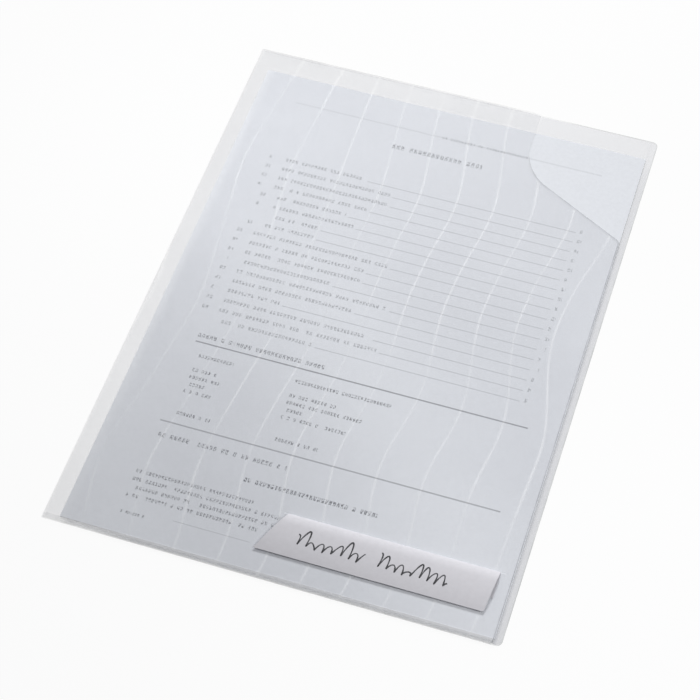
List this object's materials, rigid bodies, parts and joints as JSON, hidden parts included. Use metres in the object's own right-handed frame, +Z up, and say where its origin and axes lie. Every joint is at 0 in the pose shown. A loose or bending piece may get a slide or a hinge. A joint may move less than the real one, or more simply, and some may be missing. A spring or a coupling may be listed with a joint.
{
  "type": "sheet protector",
  "caption": "Flat translucent film pocket, folded at the spine and open at the top and free side, with a thumb cut, a slit-held title label and loose printed pages inside.",
  "frame": {"origin": "middle of the back panel's underside, where the pocket lies on a desk", "axes": "+X from the spine to the free side, +Y up the page to the open mouth, +Z up out of the front"},
  "size_m": [0.222, 0.3134, 0.0033],
  "materials": {
    "film": "frosted",
    "label_card": "uncoated",
    "page_paper": "uncoated"
  },
  "bodies": {
    "pocket": {"back_panel": "film", "spine_fold": "film", "front_panel": "film", "bottom_weld": "film"},
    "loose_corner": {"front_corner": "film"},
    "label_saddle": {"label_back_leaf": "label_card"},
    "label_leaf": {"label_front_leaf": "label_card"},
    "page_1": {"page_1": "page_paper"},
    "page_2": {"page_2": "page_paper"},
    "page_3": {"page_3": "page_paper"},
    "page_4": {"page_4": "page_paper"}
  },
  "joints": [
    {"name": "front_corner_lift", "type": "hinge", "parent": "pocket", "child": "loose_corner", "pos_m": [-0.09635, 0.15675, 0.0013], "axis": [0.6202, -0.7844, 0], "range_deg": [0, 70]},
    {"name": "label_slide", "type": "slide", "parent": "pocket", "child": "label_saddle", "axis": [1, 0, 0], "range_m": [-0.0023, 0.0023]},
    {"name": "label_lift", "type": "hinge", "parent": "label_saddle", "child": "label_leaf", "pos_m": [0, -0.12035, 0.0013], "axis": [-1, 0, 0], "range_deg": [0, 85]},
    {"name": "page_1_slide", "type": "slide", "parent": "pocket", "child": "page_1", "axis": [0, 1, 0], "range_m": [0, 0.31]},
    {"name": "page_2_slide", "type": "slide", "parent": "pocket", "child": "page_2", "axis": [0, 1, 0], "range_m": [0, 0.31]},
    {"name": "page_3_slide", "type": "slide", "parent": "pocket", "child": "page_3", "axis": [0, 1, 0], "range_m": [0, 0.31]},
    {"name": "page_4_slide", "type": "slide", "parent": "pocket", "child": "page_4", "axis": [0, 1, 0], "range_m": [0, 0.31]}
  ]
}
